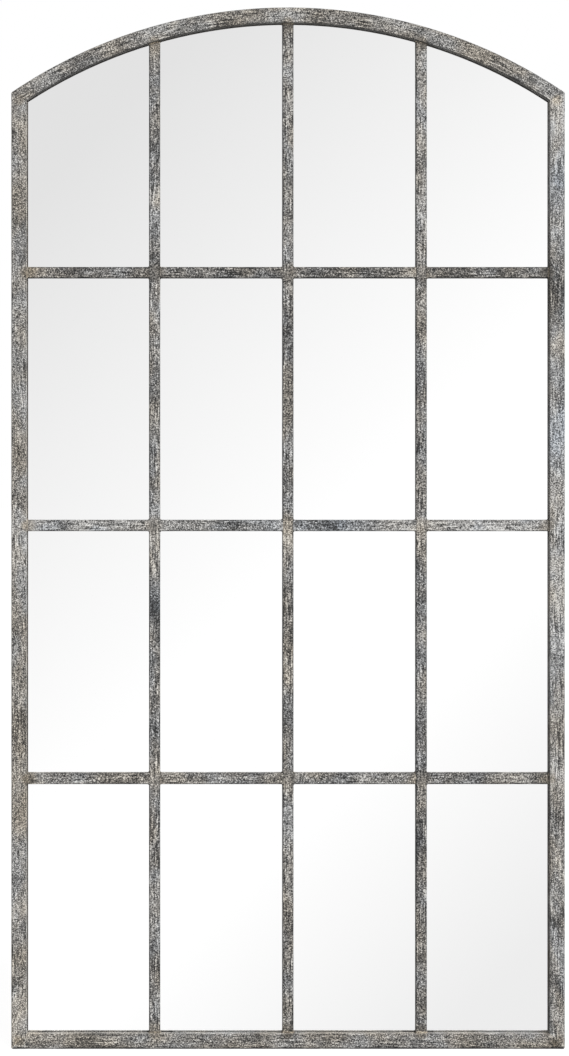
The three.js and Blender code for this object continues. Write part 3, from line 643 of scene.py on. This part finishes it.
def beadTube(start, end, radius, seed):
    # a tube along a straight line whose radius swells to its middle, ripples as a weld does, and
    # wanders by noise; both ends close on their own centres
    start, end = np.asarray(start, float), np.asarray(end, float)
    length = np.linalg.norm(end - start)
    along = (end - start) / length
    across = np.cross(along, [0.31, 0.87, 0.38])
    across /= np.linalg.norm(across)
    other = np.cross(along, across)
    rows = max(7, round(length / (0.7 * mm)))
    s = np.linspace(0, 1, rows)
    swell = np.sqrt(np.clip(1 - (2 * s - 1) ** 8, 0.12, 1))
    ripple = 1 + 0.08 * np.sin(2 * np.pi * s * length / weld["ripple"])
    turn = np.arange(weld["sides"]) * 2 * np.pi / weld["sides"]
    ring = across * np.cos(turn)[:, None] + other * np.sin(turn)[:, None]
    centre = start + (end - start) * s[:, None]
    points = centre[:, None, :] + ring[None] * (radius * swell * ripple)[:, None, None]
    push = 1 + 0.22 * latticeNoise(points, 2.6 * mm, seed)
    points = centre[:, None, :] + (points - centre[:, None, :]) * push[..., None]
    columns = weld["sides"]
    vertices = np.concatenate([points.reshape(-1, 3), [start, end]])
    faces = gridFaces(rows, columns, True)
    nextOne = (np.arange(columns) + 1) % columns
    base, first, last = (rows - 1) * columns, rows * columns, rows * columns + 1
    faces += [(first, int(b), int(a)) for a, b in zip(range(columns), nextOne)]
    faces += [(last, base + a, base + int(b)) for a, b in zip(range(columns), nextOne)]
    return vertices, faces


def joinBeads(name, beads, tone):
    vertices, faces, total = [], [], 0
    for start, end, radius, seed in beads:
        v, f = beadTube(start, end, radius, seed)
        vertices.append(v)
        faces += [tuple(i + total for i in face) for face in f]
        total += len(v)
    vertices = np.concatenate(vertices)
    zone = np.tile([0.0, 0.0, 1.0], (total, 1))
    uv = [tuple((vertices[i][0], vertices[i][2]) for i in face) for face in faces]
    return makePiece(name, vertices, faces, paint, "mirror", uv=uv,
                     attributes={"zone": zone, "tone": np.tile([*tone, 0.5], (total, 1))})


def headUnderside(x):
    return archCentreZ + math.sqrt(openingRadius ** 2 - x * x)


barFront, barBack, half = barLow.y, barHigh.y, barWidth / 2
feet, heads, stileEnds, corners = [], [], [], []
for i, x in enumerate(uprightX):
    feet.append(((x - half - 0.4 * mm, barFront - 0.3 * mm, openingBottom + 0.5 * mm),
                 (x + half + 0.4 * mm, barFront - 0.3 * mm, openingBottom + 0.5 * mm), weld["foot"], 300 + i))
    size = weld["head"] * (1.0, 1.0, 0.6)[i]
    heads.append(((x - half, barFront - 0.2 * mm, headUnderside(x - half) - 0.4 * mm),
                  (x + half, barFront - 0.2 * mm, headUnderside(x + half) - 0.4 * mm), size, 310 + i))
    for s in (-1, 1):
        edge = x + s * (half + 0.2 * mm)
        corners.append(((edge, barFront + 1 * mm, openingBottom + 0.2 * mm), (edge, barBack, openingBottom + 0.2 * mm), weld["corner"], 320 + 2 * i + s))
        corners.append(((edge, barFront + 1 * mm, headUnderside(edge) - 0.2 * mm), (edge, barBack, headUnderside(edge) - 0.2 * mm), weld["corner"], 330 + 2 * i + s))
    for j, z in enumerate(crossbarZ):
        for sx in (-1, 1):
            for sz in (-1, 1):
                cx, cz = x + sx * (half + 0.1 * mm), z + sz * (half + 0.1 * mm)
                corners.append(((cx, barFront + 1.2 * mm, cz), (cx, barBack, cz), weld["corner"] * 0.9, 340 + 31 * i + 7 * j + 2 * sx + sz))
for j, z in enumerate(crossbarZ):
    for s in (-1, 1):
        edge = s * (openingHalf - 0.3 * mm)
        stileEnds.append(((edge, barFront - 0.2 * mm, z - half + 0.6 * mm), (edge, barFront - 0.2 * mm, z + half - 0.6 * mm), weld["stile"], 400 + 5 * j + s))
        for sz in (-1, 1):
            corners.append(((edge, barFront + 1 * mm, z + sz * half), (edge, barBack, z + sz * half), weld["corner"], 420 + 9 * j + 3 * s + sz))
joinBeads("foot_welds", feet, (0.1, 0.25))
joinBeads("head_welds", heads, (0.02, 0.3))
joinBeads("stile_welds", stileEnds, (0.1, 0.1))
joinBeads("pane_corner_welds", corners, (-0.05, 0.1))
print("welds made")


def latheRows(profile, sides, centreX, centreZ, recess=None):
    # a profile of (radius, y) turned about a line along Y; recess gives how far a point at (x, z)
    # from that line is pressed in
    radius, y = np.array(profile)[:, 0], np.array(profile)[:, 1]
    turn = np.arange(sides) * 2 * np.pi / sides
    x, z = radius[:, None] * np.cos(turn), radius[:, None] * np.sin(turn)
    height = np.broadcast_to(y[:, None], x.shape)
    if recess is not None:
        height = height - recess(x, z) * (y[:, None] > 0)
    return np.stack([x + centreX, height, z + centreZ], -1)


def turnedPiece(name, profile, sides, centreX, baseY, centreZ, material, stands, recess=None):
    grid = latheRows(profile, sides, centreX, centreZ, recess)
    rows = len(profile)
    grid[..., 1] += baseY
    vertices = np.concatenate([grid.reshape(-1, 3), [grid[0].mean(0), grid[-1].mean(0)]])
    faces = gridFaces(rows, sides, True)
    base, first, last = (rows - 1) * sides, rows * sides, rows * sides + 1
    nextOne = (np.arange(sides) + 1) % sides
    faces += [(first, int(b), int(a)) for a, b in zip(range(sides), nextOne)]
    faces += [(last, base + a, base + int(b)) for a, b in zip(range(sides), nextOne)]
    piece = makePiece(name, vertices, faces, material, "mirror", stands=stands)
    piece.data.set_sharp_from_angle(angle=math.radians(38))
    return piece


backing = {"edgeGap": 0.4 * mm, "ease": 0.5 * mm}


def archedRing(inset, foot, steps=72):
    # the mirror's outline drawn in by the inset: two lower corners and one arc over them
    radius, side = archRadius - inset, halfWidth - inset
    turn = np.linspace(math.acos(side / radius), math.pi - math.acos(side / radius), steps)
    arc = np.stack([radius * np.cos(turn), archCentreZ + radius * np.sin(turn)], 1)
    return np.concatenate([[(-side, foot), (side, foot)], arc])


boardLow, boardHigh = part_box("backing_board")
rings = []
for y, drawnIn in ((boardLow.y, backing["ease"]), (boardLow.y + backing["ease"], 0), (boardHigh.y - backing["ease"], 0),
                   (boardHigh.y, backing["ease"])):
    ring2 = archedRing(tubeWidth + backing["edgeGap"] + drawnIn, boardLow.z + drawnIn)
    rings.append(np.insert(ring2, 1, y, axis=1))
rings = np.stack(rings)
count = rings.shape[1]
faces = gridFaces(4, count, True) + [tuple(range(count)), tuple(range(3 * count, 4 * count))]
makePiece("pressed_board", rings.reshape(-1, 3), faces, board, "mirror", stands=("backing_board",),
          flatFrom=0)

strip = {"thickness": 1.5 * mm, "ease": 0.25 * mm, "clipWidth": 15 * mm, "clipFoot": 14 * mm, "clipFlange": 17 * mm,
         "clipScrew": 9.5 * mm, "bend": 1.6 * mm, "strapWidth": 17 * mm, "strapLength": 52 * mm, "eyeOpens": -112.0}


def roundedPath(corners, radius, steps=9):
    # straight runs joined by arcs of one radius, each arc tangent to the two runs that meet there
    corners = np.asarray(corners, float)
    path = [corners[0]]
    for before, at, after in zip(corners, corners[1:], corners[2:]):
        back, ahead = before - at, after - at
        back, ahead = back / np.linalg.norm(back), ahead / np.linalg.norm(ahead)
        halfTurn = math.acos(np.clip(back @ ahead, -1, 1)) / 2
        middle = at + (back + ahead) / np.linalg.norm(back + ahead) * radius / math.sin(halfTurn)
        start = at + back * radius / math.tan(halfTurn) - middle
        end = at + ahead * radius / math.tan(halfTurn) - middle
        share = np.linspace(0, 1, steps)[:, None]
        spoke = start + (end - start) * share
        path += list(middle + radius * spoke / np.linalg.norm(spoke, axis=1)[:, None])
    return np.array(path + [corners[-1]])


def pressedStrip(name, path, width, roundEnd, origin, outward, stands):
    # a strip of sheet steel: path holds (distance outward, y); the section is a rectangle with eased
    # corners, and within half a width of the round end its half width is that of a circle
    extra = np.linspace(0, 1, 14)[1:-1] ** 2
    ahead = path[1] - path[0] if roundEnd == 0 else path[-2] - path[-1]
    tip = path[0] if roundEnd == 0 else path[-1]
    cap = tip + (ahead / np.linalg.norm(ahead)) * (extra[:, None] * width / 2)
    path = np.concatenate([path[:1], cap, path[1:]]) if roundEnd == 0 else np.concatenate([path[:-1], cap[::-1], path[-1:]])
    fromTip = np.concatenate([[0], np.cumsum(np.linalg.norm(np.diff(path, axis=0), axis=1))])
    if roundEnd != 0:
        fromTip = fromTip[-1] - fromTip
    half = width / 2
    reach = np.clip(fromTip, 0, half)
    halfWidth = np.sqrt(np.clip(half ** 2 - (half - reach) ** 2, (0.6 * mm) ** 2, None))
    along = np.gradient(path, axis=0)
    along /= np.linalg.norm(along, axis=1)[:, None]
    normal = np.stack([-along[:, 1], along[:, 0]], 1)
    e, t = strip["ease"], strip["thickness"] / 2
    ring = np.array([(1, e - t), (1, t - e), (1 - e / half, t), (e / half - 1, t), (-1, t - e), (-1, e - t), (e / half - 1, -t), (1 - e / half, -t)])
    across = ring[:, 0] * halfWidth[:, None]
    flat = path[:, None, :] + normal[:, None, :] * ring[:, 1][None, :, None]
    outX, outZ = outward
    x = origin[0] + flat[..., 0] * outX - across * outZ
    z = origin[1] + flat[..., 0] * outZ + across * outX
    vertices = np.stack([x, flat[..., 1], z], -1)
    rows, columns = x.shape
    faces = gridFaces(rows, columns, True) + [tuple(range(columns)), tuple(range((rows - 1) * columns, rows * columns))]
    piece = makePiece(name, vertices.reshape(-1, 3), faces, zinc, "mirror", stands=stands, flatFrom=(rows - 1) * columns)
    piece.data.set_sharp_from_angle(angle=math.radians(32))
    return piece


frameBack, boardBack = mirrorShape["back"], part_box("backing_board")[1].y
for number in range(1, 11):
    low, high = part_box(f"clip_screw_{number}")
    x, z = (low.x + high.x) / 2, (low.z + high.z) / 2
    if abs(x) > openingHalf:
        outward = (math.copysign(1, x), 0.0)
    elif z < openingBottom:
        outward = (0.0, -1.0)
    else:
        outward = (x / math.hypot(x, z - archCentreZ), (z - archCentreZ) / math.hypot(x, z - archCentreZ))
    seat = (x - strip["clipScrew"] * outward[0], z - strip["clipScrew"] * outward[1])
    t, riser = strip["thickness"] / 2, -0.3 * mm - strip["thickness"] / 2
    path = roundedPath([(-strip["clipFoot"], boardBack + t), (riser, boardBack + t), (riser, frameBack + t),
                        (strip["clipFlange"], frameBack + t)], strip["bend"])
    pressedStrip(f"pressed_clip_{number}", path, strip["clipWidth"], 1, seat, outward, (f"backing_clip_{number}",))
for word in ("left", "right"):
    low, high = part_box(f"{word}_hanger_ring")
    pivotY, pivotZ, eye = (low.y + high.y) / 2, high.z - 2 * mm, (low.y + high.y) / 2 - frameBack - strip["thickness"] / 2
    turn = np.radians(np.linspace(180, strip["eyeOpens"], 40))
    eyeArc = np.stack([eye * np.sin(turn), pivotY + eye * np.cos(turn)], 1)
    path = np.concatenate([[(-strip["strapLength"], pivotY - eye)], eyeArc])
    pressedStrip(f"{word}_rolled_strap", path, strip["strapWidth"], 0, ((low.x + high.x) / 2, pivotZ), (0.0, 1.0), (f"{word}_hanger_strap",))

screw = {"headRadius": 3.8 * mm, "headHeight": 2.3 * mm, "shank": 2.0 * mm, "length": 10 * mm,
         "crossHalf": 0.55 * mm, "crossArm": 2.15 * mm, "crossDepth": 1.35 * mm}


def crossRecess(x, z):
    # depth of a cross-shaped socket, deepest in the middle, with sloping walls
    arm, halfArm = screw["crossArm"], screw["crossHalf"]
    a, b = np.abs(x), np.abs(z)
    outside = np.minimum(np.maximum(a - halfArm, b - arm), np.maximum(b - halfArm, a - arm))
    depth = screw["crossDepth"] * (1 - 0.55 * np.hypot(x, z) / arm)
    return depth * np.clip(-outside / (0.45 * mm), 0, 1)


def screwProfile():
    angle = np.linspace(0.02, np.pi / 2, 26)
    dome = [(screw["headRadius"] * math.sin(a) ** 0.75, screw["headHeight"] * math.cos(a) ** 0.55) for a in angle]
    tip = screw["length"]
    return dome + [(screw["headRadius"] * 0.97, 0.0), (screw["shank"], -0.02 * mm), (screw["shank"], screw["shank"] - tip), (0.2 * mm, -tip)]


screwNames = [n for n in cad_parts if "screw" in n]
for i, name in enumerate(sorted(screwNames)):
    low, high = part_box(name)
    angle = i * 1.37   # no two screws stop at the same turn

    def turnedRecess(x, z, c=math.cos(angle), s=math.sin(angle)):
        return crossRecess(c * x + s * z, c * z - s * x)

    turnedPiece(name + "_cross_head", screwProfile(), 64, (low.x + high.x) / 2, high.y - screw["headHeight"],
                (low.z + high.z) / 2, zinc, (name,), turnedRecess)

ring = {"wire": 2.0 * mm, "corner": 3.0 * mm, "sides": 20}
for word in ("left", "right"):
    low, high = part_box(f"{word}_hanger_ring")
    wire, corner = ring["wire"], ring["corner"]
    halfRing, centreX, pivotY, pivotZ = (high.x - low.x) / 2 - wire, (high.x + low.x) / 2, (high.y + low.y) / 2, high.z - wire
    bowZ = (low.z + wire + halfRing) - pivotZ
    # the line runs along the straight side, round a corner, down, round the bow and back up
    pieces = [(np.linspace(corner - halfRing, halfRing - corner, 24)[:-1], None)]
    quarter = np.linspace(np.pi / 2, 0, 10)[:-1]
    half1 = np.linspace(0, -np.pi, 48)[:-1]
    line = np.concatenate([
        np.stack([pieces[0][0], np.zeros(23)], 1),
        np.stack([halfRing - corner + corner * np.cos(quarter), -corner + corner * np.sin(quarter)], 1),
        np.stack([np.full(4, halfRing), np.linspace(-corner, bowZ, 5)[:-1]], 1),
        np.stack([halfRing * np.cos(half1), bowZ + halfRing * np.sin(half1)], 1),
        np.stack([np.full(4, -halfRing), np.linspace(bowZ, -corner, 5)[:-1]], 1),
        np.stack([corner - halfRing - corner * np.sin(quarter[::-1] + np.pi / 2 - quarter[-1]) * 0 - corner * np.cos(np.linspace(0, np.pi / 2, 10)[:-1]),
                  -corner + corner * np.sin(np.linspace(0, np.pi / 2, 10)[:-1])], 1),
    ])
    ahead = np.roll(line, -1, 0) - np.roll(line, 1, 0)
    ahead /= np.linalg.norm(ahead, axis=1)[:, None]
    turn = np.arange(ring["sides"]) * 2 * np.pi / ring["sides"]
    x = centreX + line[:, 0, None] + wire * np.cos(turn) * ahead[:, 1, None]
    z = pivotZ + line[:, 1, None] - wire * np.cos(turn) * ahead[:, 0, None]
    y = pivotY + wire * np.sin(turn)[None, :] + 0 * x
    rows, columns = x.shape
    vertices = np.stack([x, y, z], -1).reshape(-1, 3)
    index = np.arange(rows * columns).reshape(rows, columns)
    down, over = np.roll(index, -1, 0), np.roll(index, -1, 1)
    quads = np.stack([index, over, np.roll(down, -1, 1), down], -1).reshape(-1, 4)
    makePiece(f"{word}_swinging_ring", vertices, [tuple(q) for q in quads.tolist()], zinc, f"{word}_ring",
              stands=(f"{word}_hanger_ring",))

bumperShape = {"base": 8.0 * mm, "edge": 1.4 * mm, "dish": 0.5 * mm}
for name in [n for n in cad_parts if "bumper" in n]:
    low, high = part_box(name)
    height, base, edge = high.y - low.y, bumperShape["base"], bumperShape["edge"]
    face = base - 1.2 * mm
    angle = np.linspace(0, np.pi / 2, 9)
    profile = [(0.2 * mm, 0.0), (base - 0.4 * mm, 0.0), (base, 0.4 * mm)]
    profile += [(face - edge + edge * math.cos(a), height - edge + edge * math.sin(a)) for a in angle]
    profile += [(face * 0.55, height), (face * 0.5, height - bumperShape["dish"]), (0.2 * mm, height - bumperShape["dish"])]
    turnedPiece(name + "_moulded", profile, 48, (low.x + high.x) / 2, low.y, (low.z + high.z) / 2, rubber, (name,))
print("hardware made")


for name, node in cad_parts.items():
    if "glass" in name:
        finish = glass
    elif "board" in name:
        finish = board
    elif "bumper" in name or "block" in name:
        finish = rubber
    elif "clip" in name or "hanger" in name or "screw" in name:
        finish = zinc
    else:
        finish = paint
    node.data.materials.clear()
    node.data.materials.append(finish)


studio = {"ambient": 0.36, "keyStrength": 3.2, "keyAngle": 38.0, "keyFrom": (0.50, -0.62, 0.60),
          "fillStrength": 1.7, "fillAngle": 60.0, "fillFrom": (-0.40, 0.78, 0.48), "mirrorPeak": 1.03}

world = bpy.data.worlds.new("softStudio")
bpy.context.scene.world = world
world.use_nodes = True
tree = world.node_tree
tree.nodes.clear()
# what polished metal and the mirror see: white, falling off to pale grey along a 45 degree slope
direction = addNode(tree, "SeparateXYZ", inputs={0: addNode(tree, "TexCoord").outputs["Generated"]})
depth = addNode(tree, "Math", {"operation": "ABSOLUTE"}, {0: direction.outputs[1]}).outputs[0]
depth = addNode(tree, "Math", {"operation": "MAXIMUM"}, {0: depth, 1: 0.05}).outputs[0]
slope = addNode(tree, "Math", {"operation": "SUBTRACT"}, {0: direction.outputs[0], 1: direction.outputs[2]}).outputs[0]
slope = addNode(tree, "Math", {"operation": "DIVIDE"}, {0: slope, 1: depth}).outputs[0]
rampPlace = addNode(tree, "MapRange", inputs={0: slope, 1: -0.6, 2: 0.8, 3: 0.0, 4: 1.0}).outputs[0]


def slopeStop(slopeValue, grey):
    level = hexColour("#%02x%02x%02x" % (grey, grey, grey))[0] * studio["mirrorPeak"]
    return ((slopeValue + 0.6) / 1.4, (level, level, level, 1))


mirrored = addNode(tree, "ValToRGB", inputs={0: rampPlace}, stops=[
    slopeStop(-0.55, 214), slopeStop(-0.164, 226), slopeStop(0.104, 255), slopeStop(0.212, 255),
    slopeStop(0.365, 236), slopeStop(0.75, 222)]).outputs[0]
path = addNode(tree, "LightPath")
ambient = studio["ambient"]
firstBounce = addNode(tree, "Math", {"operation": "LESS_THAN"}, {0: path.outputs["Diffuse Depth"], 1: 0.5}).outputs[0]
polished = addNode(tree, "Math", {"operation": "MAXIMUM"}, {0: path.outputs["Is Glossy Ray"], 1: path.outputs["Is Transmission Ray"]}).outputs[0]
polished = addNode(tree, "Math", {"operation": "MULTIPLY"}, {0: polished, 1: firstBounce}).outputs[0]
seen = addNode(tree, "Mix", {"data_type": "RGBA"}, {0: polished, 6: (ambient, ambient, ambient, 1), 7: mirrored}).outputs[2]
seen = addNode(tree, "Mix", {"data_type": "RGBA"}, {0: path.outputs["Is Camera Ray"], 6: seen, 7: (1, 1, 1, 1)}).outputs[2]
background = addNode(tree, "Background", inputs={"Color": seen, "Strength": 1.0})
output = addNode(tree, "OutputWorld")
tree.links.new(background.outputs[0], output.inputs["Surface"])

keyLamp = bpy.data.lights.new("keyLamp", "SUN")
keyLamp.energy = studio["keyStrength"]
keyLamp.angle = math.radians(studio["keyAngle"])
key = bpy.data.objects.new("keyLamp", keyLamp)
bpy.context.scene.collection.objects.link(key)
key.rotation_mode = "QUATERNION"
key.rotation_quaternion = Vector(studio["keyFrom"]).to_track_quat("Z", "Y")

fillLamp = bpy.data.lights.new("backFillLamp", "SUN")
fillLamp.energy = studio["fillStrength"]
fillLamp.angle = math.radians(studio["fillAngle"])
fill = bpy.data.objects.new("backFillLamp", fillLamp)
bpy.context.scene.collection.objects.link(fill)
fill.rotation_mode = "QUATERNION"
fill.rotation_quaternion = Vector(studio["fillFrom"]).to_track_quat("Z", "Y")

floorMaterial, tree = newMaterial("paleStudioFloor")
path = addNode(tree, "LightPath")
plain = addNode(tree, "BsdfDiffuse", inputs={"Color": hexColour("#e6e6e6")})
faint = addNode(tree, "BsdfDiffuse", inputs={"Color": (0.22, 0.22, 0.22, 1)})
glow = addNode(tree, "Emission", inputs={"Color": (1, 1, 1, 1), "Strength": 0.86})
lit = addNode(tree, "AddShader", inputs={0: faint.outputs[0], 1: glow.outputs[0]})
floorSurface = addNode(tree, "MixShader", inputs={0: path.outputs["Is Camera Ray"], 1: plain.outputs[0], 2: lit.outputs[0]})
finishMaterial(tree, floorSurface.outputs[0])
floorMesh = bpy.data.meshes.new("floor")
floorZ = bottomZ - 0.5 * mm
floorMesh.from_pydata([(-30, -30, floorZ), (30, -30, floorZ), (30, 30, floorZ), (-30, 30, floorZ)], [], [(0, 1, 2, 3)])
floorMesh.materials.append(floorMaterial)
floor = bpy.data.objects.new("floor", floorMesh)
bpy.context.scene.collection.objects.link(floor)
floor.visible_glossy = False
floor.visible_transmission = False
floor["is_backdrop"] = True

camera = {"x": -185 * mm, "z": 200 * mm, "distance": 4600 * mm, "viewHeight": 2059.5 * mm, "middleX": -7.0 * mm, "middleZ": 0.4 * mm}
cameraData = bpy.data.cameras.new("camera")
cameraData.sensor_width = 36
cameraData.lens = 36 * camera["distance"] / camera["viewHeight"]
cameraData.shift_x = (camera["middleX"] - camera["x"]) / camera["viewHeight"]
cameraData.shift_y = (camera["middleZ"] - camera["z"]) / camera["viewHeight"]
cameraData.clip_end = 100
cameraObject = bpy.data.objects.new("camera", cameraData)
bpy.context.scene.collection.objects.link(cameraObject)
cameraObject.location = (camera["x"], mirrorShape["front"] - camera["distance"], camera["z"])
cameraObject.rotation_euler = (math.pi / 2, 0, 0)
bpy.context.scene.camera = cameraObject
bpy.context.scene.view_settings.view_transform = "Standard"
print("studio ready")

low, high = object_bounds()
